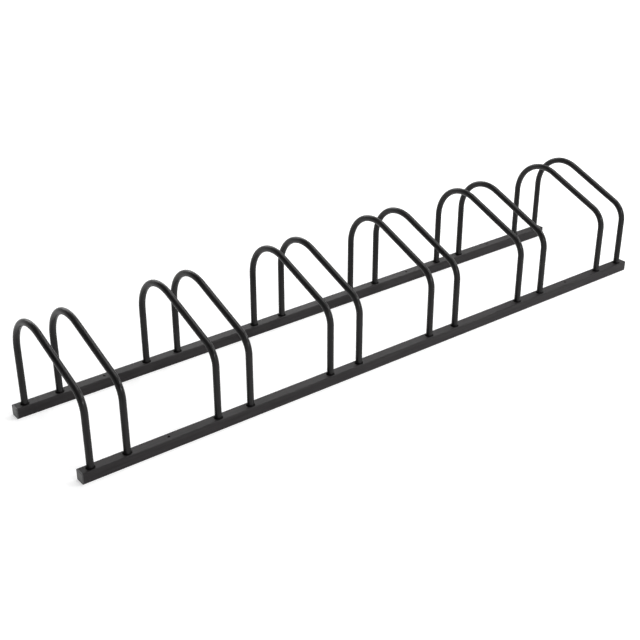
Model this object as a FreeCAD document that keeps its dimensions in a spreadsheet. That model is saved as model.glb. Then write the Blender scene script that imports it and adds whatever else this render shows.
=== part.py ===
import FreeCAD, Part
import os
from math import cos, radians, sin

import Sketcher

os.makedirs("parts", exist_ok=True)

# A floor rack for parking bicycles: two parallel box-section rails on the ground carry
# six pairs of bent tube hoops. A wheel stands between the two hoops of a pair.
# X runs along the rails, Y from the low front of the hoops to their high rear, Z up.

doc = FreeCAD.newDocument("floor_bike_rack")

# Each row is a name, a size in millimetres or degrees, a count or a formula, and its meaning.
SIZES = [
    ("rack_length", "1600", "overall length over the end caps"),
    ("rail_gauge", "295", "centre distance of the two rails"),
    ("rail_width", "25", "box section across"),
    ("rail_height", "25", "box section up"),
    ("rail_wall", "1.5", "box section wall"),
    ("rail_corner", "2", "outside corner radius of the box section"),
    ("anchor_diameter", "6", "holes for floor screws"),
    ("front_shift", "-12", "front rail's holes, along the rail from the rear rail's"),
    ("pair_count", "6", "places for bicycles"),
    ("pair_pitch", "294", "from one pair of hoops to the next"),
    ("hoops_per_pair", "2", "hoops that hold one wheel"),
    ("hoop_spacing", "81", "centre distance of the two hoops of a pair"),
    ("hoop_tube", "15", "hoop tube outside diameter"),
    ("hoop_wall", "1.2", "hoop tube wall"),
    ("crown_height", "223.5", "tube centreline at the crown, above the rails"),
    ("crown_radius", "90", "centreline radius of the high rear bend"),
    ("knee_radius", "48", "centreline radius of the low front bend"),
    ("slope_angle", "20.7", "fall of the sloping top run, in degrees"),
    ("weld_leg", "2.6", "fillet weld leg on tube and rail"),
    ("cap_flange", "2.4", "end cap thickness outside the rail"),
    ("cap_edge", "0.8", "rounding of the end cap's outer edge"),
    ("plug_depth", "16", "end cap plug length inside the rail"),
    ("plug_gap", "0.4", "gap between plug and rail wall, each side"),
    ("plug_wall", "1.6", "plug wall"),
    ("rib_count", "2", "snap ribs round a plug"),
    ("rib_gap", "0.05", "gap between snap ribs and rail wall, each side"),
    ("rib_width", "1", "snap rib length along the plug"),
    ("rib_pitch", "5", "from one snap rib to the next"),
    ("rail_length", "=rack_length - 2 * cap_flange", "cut length of a rail"),
    ("bore_width", "=rail_width - 2 * rail_wall", "inside the box section, across"),
    ("bore_height", "=rail_height - 2 * rail_wall", "inside the box section, up"),
    ("bore_corner", "=rail_corner - rail_wall", "inside corner radius"),
    ("anchor_radius", "=anchor_diameter / 2", "floor screw hole radius"),
    ("left_anchor", "=-2 * pair_pitch", "hole between the first and second pair"),
    ("middle_anchor", "=pair_pitch", "hole between the fourth and fifth pair"),
    ("right_anchor", "=2 * pair_pitch", "hole between the fifth and last pair"),
    ("front_left_anchor", "=left_anchor + front_shift", "the first gap's hole in the front rail"),
    ("front_right_anchor", "=right_anchor + front_shift", "the last gap's hole in the front rail"),
    ("hoop_radius", "=hoop_tube / 2", "hoop tube outside radius"),
    ("hoop_bore", "=hoop_radius - hoop_wall", "hoop tube inside radius"),
    ("half_gauge", "=rail_gauge / 2", "rail centre from the middle of the rack"),
    ("crown_centre", "=crown_height - crown_radius", "centre of the rear bend, above the rails"),
    ("pairs_span", "=(pair_count - 1) * pair_pitch", "first pair to last pair"),
    ("first_pair", "=-pairs_span / 2", "middle of the pair nearest the left end"),
    ("first_hoop", "=first_pair - hoop_spacing / 2", "hoop nearest the left end"),
    ("plug_width", "=bore_width - 2 * plug_gap", "plug across"),
    ("plug_height", "=bore_height - 2 * plug_gap", "plug up"),
    ("plug_foot", "=rail_wall + plug_gap", "underside of the plug"),
    ("hollow_width", "=plug_width - 2 * plug_wall", "hollow of the plug, across"),
    ("hollow_height", "=plug_height - 2 * plug_wall", "hollow of the plug, up"),
    ("hollow_foot", "=plug_foot + plug_wall", "floor of the plug's hollow"),
    ("hollow_depth", "=plug_depth - plug_wall", "depth of the plug's hollow"),
    ("rib_across", "=bore_width - 2 * rib_gap", "snap rib across"),
    ("rib_rise", "=bore_height - 2 * rib_gap", "snap rib up"),
    ("rib_foot", "=rail_wall + rib_gap", "underside of a snap rib"),
]

SIDES = [("left", -1), ("right", 1)]
RAILS = [("front", -1), ("rear", 1)]
ANCHORS = {
    "front": ["front_left_anchor", "front_right_anchor"],
    "rear": ["left_anchor", "middle_anchor", "right_anchor"],
}

spec = doc.addObject("Spreadsheet::Sheet", "Spec")
for row, (alias, value, meaning) in enumerate(SIZES, start=1):
    spec.set("A%d" % row, alias)
    spec.setAlias("B%d" % row, alias)
    spec.set("B%d" % row, value)
    spec.set("C%d" % row, meaning)
doc.recompute()

SKETCH_ORIGIN = (-1, 1)
SKETCH_ACROSS = -1
SKETCH_UPRIGHT = -2
START, END, CENTRE = 1, 2, 3
Z_UP = FreeCAD.Vector(0, 0, 1)
QUARTER, HALF, FULL = 90, 180, 360
TINY = 0.001


def sized(alias):
    return float(spec.get(alias))


def new_body(label):
    body = doc.addObject("PartDesign::Body", label)
    body.Label = label
    return body


def origin_part(body, role):
    return next(item for item in body.Origin.OriginFeatures if item.Role == role)


def new_sketch(body, name, role):
    sketch = body.newObject("Sketcher::SketchObject", name)
    sketch.AttachmentSupport = [(origin_part(body, role), "")]
    sketch.MapMode = "FlatFace"
    return sketch


def relate(sketch, kind, *terms):
    return sketch.addConstraint(Sketcher.Constraint(kind, *terms))


def drive(sketch, kind, *terms_and_alias):
    """Add a size constraint that follows a named size of the spreadsheet."""
    terms, alias = terms_and_alias[:-1], terms_and_alias[-1]
    index = relate(sketch, kind, *terms, sized(alias))
    sketch.setExpression("Constraints[%d]" % index, "Spec." + alias)


def follow(feature, **aliases):
    for name, alias in aliases.items():
        feature.setExpression(name, "Spec." + alias)


def place(body, **formulas):
    for axis, formula in formulas.items():
        body.setExpression("Placement.Base." + axis, formula)


def vector(across, up):
    return FreeCAD.Vector(across, up, 0)


def line(sketch, start, end):
    return sketch.addGeometry(Part.LineSegment(vector(*start), vector(*end)), False)


def circle(sketch, centre, radius):
    return sketch.addGeometry(Part.Circle(vector(*centre), Z_UP, radius), False)


def arc(sketch, centre, radius, first, last):
    """An arc drawn anticlockwise from the angle first to the angle last, in degrees."""
    curve = Part.Circle(vector(*centre), Z_UP, radius)
    return sketch.addGeometry(Part.ArcOfCircle(curve, radians(first), radians(last)), False)


def rounded_box(sketch, width, height, corner, foot=None):
    """Draw a rounded rectangle, centred on the upright axis, from three or four named sizes."""
    right, rise, radius = sized(width) / 2, sized(height), sized(corner)
    low = sized(foot) if foot else 0
    high = low + rise
    inner_right, inner_low, inner_high = right - radius, low + radius, high - radius
    sides = [
        line(sketch, (-inner_right, low), (inner_right, low)),
        line(sketch, (right, inner_low), (right, inner_high)),
        line(sketch, (inner_right, high), (-inner_right, high)),
        line(sketch, (-right, inner_high), (-right, inner_low)),
    ]
    bend_centres = [
        (inner_right, inner_low),
        (inner_right, inner_high),
        (-inner_right, inner_high),
        (-inner_right, inner_low),
    ]
    corners = [
        arc(sketch, centre, radius, (turn - 1) * QUARTER, turn * QUARTER)
        for turn, centre in enumerate(bend_centres)
    ]
    for turn, bend in enumerate(corners):
        relate(sketch, "Tangent", sides[turn], END, bend, START)
        relate(sketch, "Tangent", bend, END, sides[(turn + 1) % len(sides)], START)
        if turn:
            relate(sketch, "Equal", corners[0], bend)
    relate(sketch, "Horizontal", sides[2])
    relate(sketch, "Vertical", sides[1])
    relate(sketch, "Vertical", sides[3])
    relate(sketch, "Symmetric", sides[0], START, sides[0], END, SKETCH_UPRIGHT)
    drive(sketch, "Radius", corners[0], corner)
    drive(sketch, "DistanceX", sides[3], START, sides[1], START, width)
    drive(sketch, "DistanceY", sides[0], START, sides[2], START, height)
    if foot:
        drive(sketch, "DistanceY", *SKETCH_ORIGIN, sides[0], START, foot)
    else:
        relate(sketch, "PointOnObject", sides[0], START, SKETCH_ACROSS)


def pad(body, sketch, name, length, backward=False):
    feature = body.newObject("PartDesign::Pad", name)
    feature.Profile = sketch
    feature.Reversed = backward
    follow(feature, Length=length)
    return feature


# Rails: hollow box sections lying on the floor, drilled right through for floor screws.

def make_rail(label, side, anchors):
    body = new_body(label)
    section = new_sketch(body, label + "_section", "YZ_Plane")
    rounded_box(section, "rail_width", "rail_height", "rail_corner")
    rounded_box(section, "bore_width", "bore_height", "bore_corner", "rail_wall")
    pad(body, section, label + "_tube", "rail_length").Midplane = True

    drilling = new_sketch(body, label + "_anchors", "XY_Plane")
    for anchor in anchors:
        hole = circle(drilling, (sized(anchor), 0), sized("anchor_radius"))
        relate(drilling, "PointOnObject", hole, CENTRE, SKETCH_ACROSS)
        drive(drilling, "DistanceX", *SKETCH_ORIGIN, hole, CENTRE, anchor)
        drive(drilling, "Radius", hole, "anchor_radius")
    holes = body.newObject("PartDesign::Pocket", label + "_holes")
    holes.Profile = drilling
    holes.Type = "ThroughAll"
    holes.Midplane = True
    place(body, y="%d * Spec.half_gauge" % side)
    return body


# Hoops: one tube each, bent twice in an upright plane across the rails. The tube climbs
# from the rear rail, turns over the crown, runs down to the knee and drops to the front rail.

def make_path(body, label):
    half, radius, knee = sized("half_gauge"), sized("crown_radius"), sized("knee_radius")
    slope = radians(sized("slope_angle"))
    crown = FreeCAD.Vector(half - radius, sized("crown_centre"), 0)
    outward = FreeCAD.Vector(-sin(slope), cos(slope), 0)
    downhill = FreeCAD.Vector(-cos(slope), -sin(slope), 0)
    crown_end = crown + outward * radius
    knee_across = knee - half
    run = (crown_end.x - outward.x * knee - knee_across) / cos(slope)
    knee_start = crown_end + downhill * run
    knee_centre = knee_start - outward * knee
    turned = QUARTER + sized("slope_angle")

    path = new_sketch(body, label + "_path", "YZ_Plane")
    rear_leg = line(path, (half, 0), (half, crown.y))
    crown_bend = arc(path, (crown.x, crown.y), radius, 0, turned)
    top_run = line(path, (crown_end.x, crown_end.y), (knee_start.x, knee_start.y))
    knee_bend = arc(path, (knee_centre.x, knee_centre.y), knee, turned, HALF)
    front_leg = line(path, (-half, knee_centre.y), (-half, 0))
    relate(path, "Tangent", rear_leg, END, crown_bend, START)
    relate(path, "Tangent", crown_bend, END, top_run, START)
    relate(path, "Tangent", top_run, END, knee_bend, START)
    relate(path, "Tangent", knee_bend, END, front_leg, START)
    for leg in (rear_leg, front_leg):
        relate(path, "Vertical", leg)
    relate(path, "PointOnObject", rear_leg, START, SKETCH_ACROSS)
    relate(path, "Symmetric", rear_leg, START, front_leg, END, SKETCH_UPRIGHT)
    drive(path, "DistanceX", front_leg, END, rear_leg, START, "rail_gauge")
    drive(path, "DistanceY", *SKETCH_ORIGIN, crown_bend, CENTRE, "crown_centre")
    drive(path, "Radius", crown_bend, "crown_radius")
    drive(path, "Radius", knee_bend, "knee_radius")
    fall = relate(path, "Angle", SKETCH_ACROSS, START, top_run, END, slope)
    path.setExpression("Constraints[%d]" % fall, "Spec.slope_angle * 1 deg")
    return path


def make_hoop(label, pair, side):
    body = new_body(label)
    path = make_path(body, label)
    ring = new_sketch(body, label + "_ring", "XY_Plane")
    for radius in ("hoop_radius", "hoop_bore"):
        outline = circle(ring, (0, sized("half_gauge")), sized(radius))
        relate(ring, "PointOnObject", outline, CENTRE, SKETCH_UPRIGHT)
        drive(ring, "Radius", outline, radius)
        drive(ring, "DistanceY", *SKETCH_ORIGIN, outline, CENTRE, "half_gauge")
    tube = body.newObject("PartDesign::AdditivePipe", label + "_tube")
    tube.Profile = ring
    tube.Spine = path
    along = "Spec.first_pair + %d * Spec.pair_pitch + %d * Spec.hoop_spacing / 2"
    place(body, x=along % (pair, side), z="Spec.rail_height")
    return body


# Welds: a fillet bead right round the foot of every leg.

def make_welds(label, side):
    body = new_body(label)
    bead = new_sketch(body, label + "_bead", "XZ_Plane")
    tube, leg = sized("hoop_radius"), sized("weld_leg")
    root, toe, top = (tube, 0), (tube + leg, 0), (tube, leg)
    against_rail = line(bead, root, toe)
    face = line(bead, toe, top)
    against_tube = line(bead, top, root)
    relate(bead, "Coincident", against_rail, END, face, START)
    relate(bead, "Coincident", face, END, against_tube, START)
    relate(bead, "Coincident", against_tube, END, against_rail, START)
    relate(bead, "PointOnObject", against_rail, START, SKETCH_ACROSS)
    relate(bead, "Horizontal", against_rail)
    relate(bead, "Vertical", against_tube)
    drive(bead, "DistanceX", *SKETCH_ORIGIN, against_rail, START, "hoop_radius")
    drive(bead, "DistanceX", against_rail, START, against_rail, END, "weld_leg")
    drive(bead, "DistanceY", against_tube, END, against_tube, START, "weld_leg")

    ring = body.newObject("PartDesign::Revolution", label + "_ring")
    ring.Profile = bead
    ring.ReferenceAxis = (origin_part(body, "Z_Axis"), [""])
    ring.Angle = FULL
    doc.recompute()

    repeat = body.newObject("PartDesign::MultiTransform", label + "_repeat")
    repeat.Originals = [ring]
    steps = []
    for length, count in (("hoop_spacing", "hoops_per_pair"), ("pairs_span", "pair_count")):
        step = doc.addObject("PartDesign::LinearPattern", "%s_%s" % (label, length))
        body.addObject(step)
        step.Direction = (origin_part(body, "X_Axis"), [""])
        follow(step, Length=length, Occurrences=count)
        steps.append(step)
    repeat.Transformations = steps
    body.Tip = repeat
    place(body, x="Spec.first_hoop", y="%d * Spec.half_gauge" % side, z="Spec.rail_height")
    return body


# End caps: a flange over the rail's cut end and a hollow plug with snap ribs inside it.

def make_cap(label, rail_side, end):
    body = new_body(label)
    outline = new_sketch(body, label + "_outline", "YZ_Plane")
    rounded_box(outline, "rail_width", "rail_height", "rail_corner")
    pad(body, outline, label + "_flange", "cap_flange")

    stub = new_sketch(body, label + "_stub", "YZ_Plane")
    rounded_box(stub, "plug_width", "plug_height", "bore_corner", "plug_foot")
    pad(body, stub, label + "_plug", "plug_depth", backward=True)

    for number in range(1, int(sized("rib_count")) + 1):
        lip = new_sketch(body, "%s_lip_%d" % (label, number), "YZ_Plane")
        rounded_box(lip, "rib_across", "rib_rise", "bore_corner", "rib_foot")
        lip.setExpression("AttachmentOffset.Base.z", "-%d * Spec.rib_pitch" % number)
        pad(body, lip, "%s_rib_%d" % (label, number), "rib_width", backward=True)

    cavity = new_sketch(body, label + "_cavity", "YZ_Plane")
    rounded_box(cavity, "hollow_width", "hollow_height", "bore_corner", "hollow_foot")
    cavity.setExpression("AttachmentOffset.Base.z", "-Spec.plug_depth")
    hollow = body.newObject("PartDesign::Pocket", label + "_hollow")
    hollow.Profile = cavity
    hollow.Reversed = True
    follow(hollow, Length="hollow_depth")
    doc.recompute()

    outer_edges = edges_of_face_at(hollow.Shape, sized("cap_flange"))
    soften = body.newObject("PartDesign::Fillet", label + "_soften")
    soften.Base = (hollow, outer_edges)
    follow(soften, Radius="cap_edge")
    body.Tip = soften
    body.Placement.Rotation = FreeCAD.Rotation(Z_UP, 0 if end > 0 else HALF)
    place(body, x="%d * Spec.rail_length / 2" % end, y="%d * Spec.half_gauge" % rail_side)
    return body


def edges_of_face_at(shape, along):
    """Names of the edges that lie wholly in the plane across X at the given distance."""
    return [
        "Edge%d" % number
        for number, edge in enumerate(shape.Edges, start=1)
        if abs(edge.BoundBox.XMin - along) < TINY and abs(edge.BoundBox.XMax - along) < TINY
    ]


pieces = []
for rail_name, rail_side in RAILS:
    pieces.append(make_rail(rail_name + "_rail", rail_side, ANCHORS[rail_name]))
    pieces.append(make_welds(rail_name + "_rail_welds", rail_side))
    for end_name, end in SIDES:
        pieces.append(make_cap("%s_rail_%s_end_cap" % (rail_name, end_name), rail_side, end))
for pair in range(int(sized("pair_count"))):
    for side_name, side in SIDES:
        pieces.append(make_hoop("hoop_%d_%s" % (pair + 1, side_name), pair, side))
doc.recompute()

for item in doc.Objects:
    if "Invalid" in item.State or "Error" in item.State:
        raise RuntimeError("%s did not build" % item.Label)
for piece in pieces:
    if piece.Shape.isNull() or not piece.Shape.isValid():
        raise RuntimeError("%s has no sound shape" % piece.Label)
    piece.Shape.exportStep("parts/%s.step" % piece.Label)
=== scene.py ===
from math import cos, pi, radians, sin, tau
from random import Random

import bmesh
import bpy
from mathutils import Matrix, Vector


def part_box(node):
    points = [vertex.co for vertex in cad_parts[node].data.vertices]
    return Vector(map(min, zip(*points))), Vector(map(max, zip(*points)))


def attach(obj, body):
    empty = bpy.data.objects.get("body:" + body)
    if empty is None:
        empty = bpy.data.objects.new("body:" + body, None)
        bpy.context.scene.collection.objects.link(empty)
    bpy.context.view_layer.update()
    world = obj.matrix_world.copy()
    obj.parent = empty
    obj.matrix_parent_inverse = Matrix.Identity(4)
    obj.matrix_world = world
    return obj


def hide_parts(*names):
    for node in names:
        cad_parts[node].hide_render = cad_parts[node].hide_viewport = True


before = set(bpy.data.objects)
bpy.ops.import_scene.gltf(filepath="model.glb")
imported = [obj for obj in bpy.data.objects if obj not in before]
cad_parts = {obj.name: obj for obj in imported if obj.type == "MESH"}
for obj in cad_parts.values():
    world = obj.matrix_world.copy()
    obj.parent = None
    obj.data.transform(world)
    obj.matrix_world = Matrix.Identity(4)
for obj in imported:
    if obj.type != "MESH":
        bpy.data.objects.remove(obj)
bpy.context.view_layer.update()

# A floor rack of black powder coated steel. X runs along the rails, Y from the low front
# of the hoops to their high rear, Z up from the floor. Sizes are in metres.

MM = 0.001

BODY = "root"
PAIRS = range(1, 7)
SIDES = ("left", "right")
RAILS = ("front", "rear")
HOOPS = ["hoop_%d_%s" % (pair, side) for pair in PAIRS for side in SIDES]


# Building of shader trees

def shader(tree, kind, inputs=None, **settings):
    """Add a node, set its options, and set or link its inputs by name or number."""
    made = tree.nodes.new(kind)
    for name, value in settings.items():
        setattr(made, name, value)
    for name, value in (inputs or {}).items():
        if isinstance(value, bpy.types.NodeSocket):
            tree.links.new(value, made.inputs[name])
        else:
            made.inputs[name].default_value = value
    return made


def new_material(name):
    material = bpy.data.materials.new(name)
    material.use_nodes = True
    material.node_tree.nodes.clear()
    return material, material.node_tree


def maths(tree, operation, *values):
    return shader(tree, "ShaderNodeMath", dict(enumerate(values)), operation=operation).outputs[0]


def stretched(tree, place, scales):
    mapping = shader(tree, "ShaderNodeMapping", {"Vector": place, "Scale": scales})
    return mapping.outputs["Vector"]


def noise(tree, place, scale, detail=2.0, roughness=0.5):
    inputs = {"Vector": place, "Scale": scale, "Detail": detail, "Roughness": roughness}
    return shader(tree, "ShaderNodeTexNoise", inputs).outputs["Fac"]


def remap(tree, value, low, high, to_low, to_high):
    inputs = {0: value, 1: low, 2: high, 3: to_low, 4: to_high}
    return shader(tree, "ShaderNodeMapRange", inputs).outputs[0]


def blend(tree, factor, first, second):
    made = shader(tree, "ShaderNodeMix", {"Factor": factor}, data_type="RGBA")
    colours = [socket for socket in made.inputs if socket.type == "RGBA"]
    for socket, value in zip(colours, (first, second)):
        if isinstance(value, bpy.types.NodeSocket):
            tree.links.new(value, socket)
        else:
            socket.default_value = (*value, 1.0)
    return next(socket for socket in made.outputs if socket.type == "RGBA")


def bump(tree, height, distance, strength, under=None):
    inputs = {"Height": height, "Distance": distance, "Strength": strength}
    if under:
        inputs["Normal"] = under
    return shader(tree, "ShaderNodeBump", inputs).outputs["Normal"]


# Finishes. A scale is in noise cells per metre.

SPECKLE_SCALE = 1400.0
SPECKLE_HEIGHT = 0.012 * MM
PEEL_SCALE = 420.0
PEEL_HEIGHT = 0.05 * MM
WAVE_SCALE = 110.0
WAVE_HEIGHT = 0.25 * MM
GRAIN_STRENGTH = 0.5
PALER = 1.9
CAP_GRAIN_SCALE = 1900.0
CAP_GRAIN_HEIGHT = 0.03 * MM
CAP_CLOUD_SCALE = 90.0


def corner_mask(tree):
    """1 where a surface faces halfway between up, down, front and rear, as a rail's corners do."""
    facing = shader(tree, "ShaderNodeNewGeometry").outputs["Normal"]
    parts = shader(tree, "ShaderNodeSeparateXYZ", {0: facing})
    diagonal = maths(tree, "MULTIPLY", parts.outputs["Y"], parts.outputs["Z"])
    return remap(tree, maths(tree, "ABSOLUTE", diagonal), 0.15, 0.5, 0.0, 1.0)


def powder_coat(name, dark, light, gloss, matt, shine, streaks, wave, worn_corners=False):
    """Sprayed and baked coating: a fine grain, a soft orange peel and slightly uneven gloss.

    Colour runs from dark to light and roughness from gloss to matt along the same streaks,
    whose scales are given along X, Y and Z. wave is the strength of the slow unevenness.
    """
    material, tree = new_material(name)
    place = shader(tree, "ShaderNodeTexCoord").outputs["Object"]
    patches = noise(tree, stretched(tree, place, streaks), 1.0, 4.0, 0.6)
    speckle = noise(tree, place, SPECKLE_SCALE, 3.0, 0.7)
    peel = noise(tree, place, PEEL_SCALE, 1.5)
    waves = noise(tree, place, WAVE_SCALE, 2.0)

    colour = blend(tree, remap(tree, patches, 0.3, 0.7, 0.0, 1.0), dark, light)
    pale = [PALER * part for part in light]
    dots = remap(tree, speckle, 0.62, 0.8, 0.0, 0.5)
    colour = blend(tree, dots, colour, pale)
    if worn_corners:
        wear = remap(tree, patches, 0.4, 0.65, 0.0, 0.4)
        colour = blend(tree, maths(tree, "MULTIPLY", corner_mask(tree), wear), colour, pale)
    roughness = remap(tree, patches, 0.3, 0.7, gloss, matt)

    normal = bump(tree, waves, WAVE_HEIGHT, wave)
    normal = bump(tree, peel, PEEL_HEIGHT, GRAIN_STRENGTH, normal)
    normal = bump(tree, speckle, SPECKLE_HEIGHT, GRAIN_STRENGTH, normal)
    surface = shader(tree, "ShaderNodeBsdfPrincipled", {
        "Base Color": colour,
        "Roughness": roughness,
        "Specular IOR Level": shine,
        "Normal": normal,
    })
    return material, tree, surface


def finish_surface(tree, surface):
    shader(tree, "ShaderNodeOutputMaterial", {"Surface": surface.outputs[0]})


def rail_finish():
    """The streaks run along the rail."""
    material, tree, surface = powder_coat(
        "rail_powder_coat", dark=(0.018, 0.0166, 0.0172), light=(0.035, 0.0325, 0.0335),
        gloss=0.44, matt=0.54, shine=0.14, streaks=(9.0, 130.0, 130.0), wave=0.1, worn_corners=True)
    finish_surface(tree, surface)
    return material


def hoop_finish():
    """The streaks keep to one distance along the rack, so they run lengthwise on every bend."""
    material, tree, surface = powder_coat(
        "hoop_powder_coat", dark=(0.003, 0.0028, 0.0029), light=(0.022, 0.0209, 0.0213),
        gloss=0.34, matt=0.44, shine=0.12, streaks=(330.0, 16.0, 16.0), wave=0.2)
    surface.inputs["Coat Weight"].default_value = 0.14
    surface.inputs["Coat Roughness"].default_value = 0.2
    tree.links.new(surface.inputs["Normal"].links[0].from_socket, surface.inputs["Coat Normal"])
    finish_surface(tree, surface)
    return material


def weld_painted_shade_finish():
    """Darker than the tubes as painted shade where each bead sits between tube and rail, and in patches
    that run no one way.
    """
    # The beads' dark colour is painted shade at the foot of each leg, not a darker coat.
    material, tree, surface = powder_coat(
        "weld_powder_coat_painted_shade", dark=(0.0018, 0.0017, 0.0017), light=(0.0036, 0.0034, 0.0034),
        gloss=0.42, matt=0.55, shine=0.05, streaks=(160.0, 160.0, 160.0), wave=0.2)
    finish_surface(tree, surface)
    return material


def cap_finish():
    """Moulded plastic with the fine spark-eroded grain of its tool."""
    material, tree = new_material("cap_plastic")
    place = shader(tree, "ShaderNodeTexCoord").outputs["Object"]
    grain = noise(tree, place, CAP_GRAIN_SCALE, 2.0, 0.6)
    clouds = noise(tree, place, CAP_CLOUD_SCALE, 3.0)
    colour = blend(tree, clouds, (0.03, 0.029, 0.029), (0.042, 0.041, 0.041))
    surface = shader(tree, "ShaderNodeBsdfPrincipled", {
        "Base Color": colour,
        "Roughness": remap(tree, clouds, 0.3, 0.7, 0.4, 0.5),
        "Specular IOR Level": 0.6,
        "Normal": bump(tree, grain, CAP_GRAIN_HEIGHT, 0.6),
    })
    finish_surface(tree, surface)
    return material


# Weld beads: a rippled fillet laid round the foot of every hoop leg.

BEAD_LEG = 2.6 * MM
BEAD_BULGE = 0.35 * MM
BEAD_SINK = 0.3 * MM
MEAN_LEG = 0.95
LEG_SWING = 0.07
SWING_WAVES = 3
FACE_LEAN = pi / 4
RIPPLES = 22
RIPPLE_HEIGHT = 0.16 * MM
RIPPLE_BEND = 0.55
RIPPLE_EDGE = 0.7
STEPS_ROUND = 8 * RIPPLES
STEPS_ACROSS = 8


def leg_feet(rail):
    """Foot centre and radius of every leg that stands on the rail."""
    feet = []
    for hoop in HOOPS:
        low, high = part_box(hoop)
        radius = (high.x - low.x) / 2
        across = low.y + radius if rail == "front" else high.y - radius
        feet.append((Vector(((low.x + high.x) / 2, across, low.z)), radius))
    return feet


def bead_ring(mesh, foot, radius, chance):
    """Add one closed bead: its face runs from the tube down to the rail in overlapping crescents."""
    start = chance.uniform(0, tau)
    drift = [chance.uniform(0.0, tau) for _ in range(SWING_WAVES)]
    rows = []
    for step in range(STEPS_ROUND):
        around = tau * step / STEPS_ROUND
        swings = [sin((order + 2) * around + shift) for order, shift in enumerate(drift)]
        leg = BEAD_LEG * (MEAN_LEG + LEG_SWING * sum(swings) / SWING_WAVES)
        outward = Vector((cos(around), sin(around), 0))
        row = []
        for part in range(STEPS_ACROSS + 1):
            share = part / STEPS_ACROSS
            lag = RIPPLE_BEND * (2 * share - 1) ** 2
            phase = ((around - start) * RIPPLES / tau + lag) % 1.0
            crest = RIPPLE_HEIGHT * (phase ** RIPPLE_EDGE - 0.5) * sin(pi * share)
            rise = BEAD_BULGE * sin(pi * share) + crest
            reach = leg * share + rise * sin(FACE_LEAN)
            height = leg * (1 - share) + rise * cos(FACE_LEAN)
            row.append(foot + outward * (radius + reach) + Vector((0, 0, height)))
        low_out = foot + outward * (radius + leg) - Vector((0, 0, BEAD_SINK))
        low_in = foot + outward * (radius - BEAD_SINK) - Vector((0, 0, BEAD_SINK))
        high_in = foot + outward * (radius - BEAD_SINK) + Vector((0, 0, leg))
        row += [low_out, low_in, high_in]
        rows.append([mesh.verts.new(point) for point in row])
    for step, row in enumerate(rows):
        ahead = rows[(step + 1) % len(rows)]
        for part in range(len(row)):
            after = (part + 1) % len(row)
            mesh.faces.new((row[part], row[after], ahead[after], ahead[part]))


def weld_beads(rail, material):
    """All twelve beads of a rail as one piece, in place of the plain rings of the CAD."""
    mesh = bmesh.new()
    chance = Random(rail)
    for foot, radius in leg_feet(rail):
        bead_ring(mesh, foot, radius, chance)
    bmesh.ops.recalc_face_normals(mesh, faces=mesh.faces)
    data = bpy.data.meshes.new(rail + "_rail_bead_run")
    mesh.to_mesh(data)
    mesh.free()
    data.polygons.foreach_set("use_smooth", [True] * len(data.polygons))
    piece = bpy.data.objects.new(rail + "_rail_bead_run", data)
    bpy.context.scene.collection.objects.link(piece)
    data.materials.append(material)
    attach(piece, BODY)
    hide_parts(rail + "_rail_welds")


# Stage: a pale floor that sweeps up all round into a backdrop, lamps and the camera.

FLOOR_RADIUS = 8.0
SWEEP_RADIUS = 4.5
SWEEP_STEPS = 12
STAGE_SEGMENTS = 96
PAPER_WHITE = 0.6
PAPER_GLOW = 0.58
BACKDROP_GLOW = 0.9
GLOW_RISE = 1.5
ROOM_LIGHT = 0.15
LAMP_DISTANCE = 4.5

# Azimuth and elevation in degrees, width and height in metres, share of plain light.
LAMPS = {
    "right_high": (20, 66, 2.6, 3.2, 0.6),
    "key": (-38, 44, 0.9, 0.9, 0.27),
    "right_low": (-10, 27, 2.4, 1.6, 0.2),
    "front_low": (-86, 27, 0.6, 0.4, 0.34),
    "rear": (72, 27, 4.5, 1.6, 0.42),
}


def floor_finish():
    """White paper: matt, with a glow for the eye and reflections that grows up the backdrop."""
    material, tree = new_material("floor_paper")
    paths = shader(tree, "ShaderNodeLightPath").outputs
    seen = maths(tree, "MAXIMUM", paths["Is Camera Ray"], paths["Is Glossy Ray"])
    seen = maths(tree, "MAXIMUM", seen, paths["Is Transmission Ray"])
    place = shader(tree, "ShaderNodeTexCoord").outputs["Object"]
    height = shader(tree, "ShaderNodeSeparateXYZ", {0: place}).outputs["Z"]
    strength = remap(tree, height, 0.0, GLOW_RISE, PAPER_GLOW, BACKDROP_GLOW)
    white = (PAPER_WHITE, PAPER_WHITE, PAPER_WHITE, 1.0)
    paper = shader(tree, "ShaderNodeBsdfDiffuse", {"Color": white})
    glow = shader(tree, "ShaderNodeEmission", {"Strength": maths(tree, "MULTIPLY", seen, strength)})
    both = shader(tree, "ShaderNodeAddShader", {0: paper.outputs[0], 1: glow.outputs[0]})
    finish_surface(tree, both)
    return material


def make_floor():
    mesh = bmesh.new()
    middle = mesh.verts.new((0, 0, 0))
    rings = []
    for step in range(SWEEP_STEPS + 1):
        bend = pi / 2 * step / SWEEP_STEPS
        radius = FLOOR_RADIUS + SWEEP_RADIUS * sin(bend)
        height = SWEEP_RADIUS * (1 - cos(bend))
        rings.append([
            mesh.verts.new((radius * cos(around), radius * sin(around), height))
            for around in (tau * part / STAGE_SEGMENTS for part in range(STAGE_SEGMENTS))
        ])
    for part in range(STAGE_SEGMENTS):
        after = (part + 1) % STAGE_SEGMENTS
        mesh.faces.new((middle, rings[0][part], rings[0][after]))
        for inner, outer in zip(rings, rings[1:]):
            mesh.faces.new((inner[part], outer[part], outer[after], inner[after]))
    data = bpy.data.meshes.new("floor")
    mesh.to_mesh(data)
    mesh.free()
    data.polygons.foreach_set("use_smooth", [True] * len(data.polygons))
    floor = bpy.data.objects.new("floor", data)
    bpy.context.scene.collection.objects.link(floor)
    data.materials.append(floor_finish())


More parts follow.
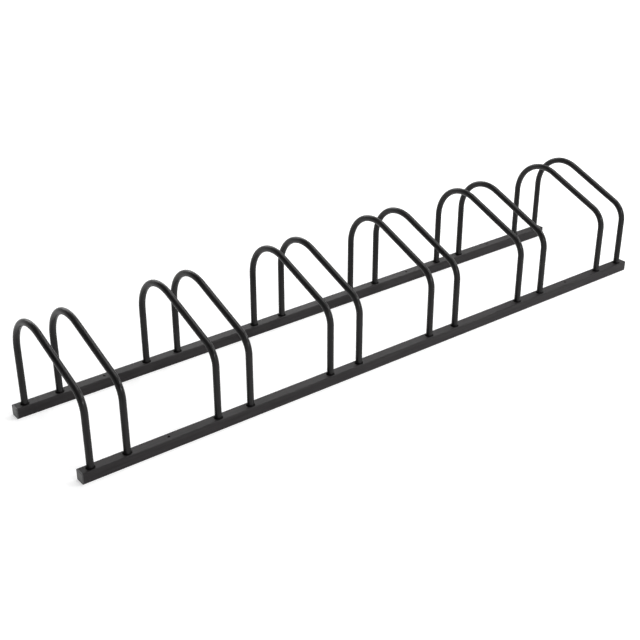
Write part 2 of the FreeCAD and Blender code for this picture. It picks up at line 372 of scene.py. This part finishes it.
def soft_lamp(name, azimuth, elevation, width, height, share):
    """A softbox that gives the rack the given share of plain light from that direction."""
    lamp = bpy.data.lights.new(name, "AREA")
    lamp.shape = "RECTANGLE"
    lamp.size, lamp.size_y = width, height
    lamp.energy = share * (pi * LAMP_DISTANCE) ** 2
    holder = bpy.data.objects.new(name, lamp)
    turn, rise = radians(azimuth), radians(elevation)
    outward = Vector((cos(turn) * cos(rise), sin(turn) * cos(rise), sin(rise)))
    facing = outward.to_track_quat("Z", "Y").to_matrix().to_4x4()
    holder.matrix_world = Matrix.Translation(LAMP_DISTANCE * outward) @ facing
    bpy.context.scene.collection.objects.link(holder)


def make_light():
    world = bpy.data.worlds.new("studio")
    bpy.context.scene.world = world
    world.use_nodes = True
    tree = world.node_tree
    tree.nodes.clear()
    room = shader(tree, "ShaderNodeBackground", {"Color": (1.0, 1.0, 1.0, 1.0), "Strength": ROOM_LIGHT})
    shader(tree, "ShaderNodeOutputWorld", {"Surface": room.outputs[0]})
    for name, settings in LAMPS.items():
        soft_lamp(name, *settings)


# The camera as fitted to the photo: lens in millimetres, place in metres.

LENS = 64.77
EYE = (-1.5441, -1.8761, 1.3072)
TURN_RIGHT = radians(37.531)
LOOK_DOWN = radians(27.605)


def make_camera():
    camera = bpy.data.cameras.new("camera")
    camera.lens = LENS
    camera.clip_start, camera.clip_end = 0.05, 100.0
    holder = bpy.data.objects.new("camera", camera)
    bpy.context.scene.collection.objects.link(holder)
    bpy.context.scene.camera = holder
    holder.matrix_world = (
        Matrix.Translation(EYE)
        @ Matrix.Rotation(-TURN_RIGHT, 4, "Z")
        @ Matrix.Rotation(pi / 2 - LOOK_DOWN, 4, "X"))


def coat(node, material):
    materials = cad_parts[node].data.materials
    materials.clear()
    materials.append(material)


def dress():
    rail_coat, hoop_coat = rail_finish(), hoop_finish()
    # The weld beads get painted shade: a colour darker than the tube coat that they really share.
    weld_painted_shade_coat, cap_plastic = weld_painted_shade_finish(), cap_finish()
    for hoop in HOOPS:
        coat(hoop, hoop_coat)
    for rail in RAILS:
        coat(rail + "_rail", rail_coat)
        weld_beads(rail, weld_painted_shade_coat)
        for side in SIDES:
            coat("%s_rail_%s_end_cap" % (rail, side), cap_plastic)


dress()
make_floor()
make_light()
make_camera()
bpy.context.scene.view_settings.view_transform = "Standard"
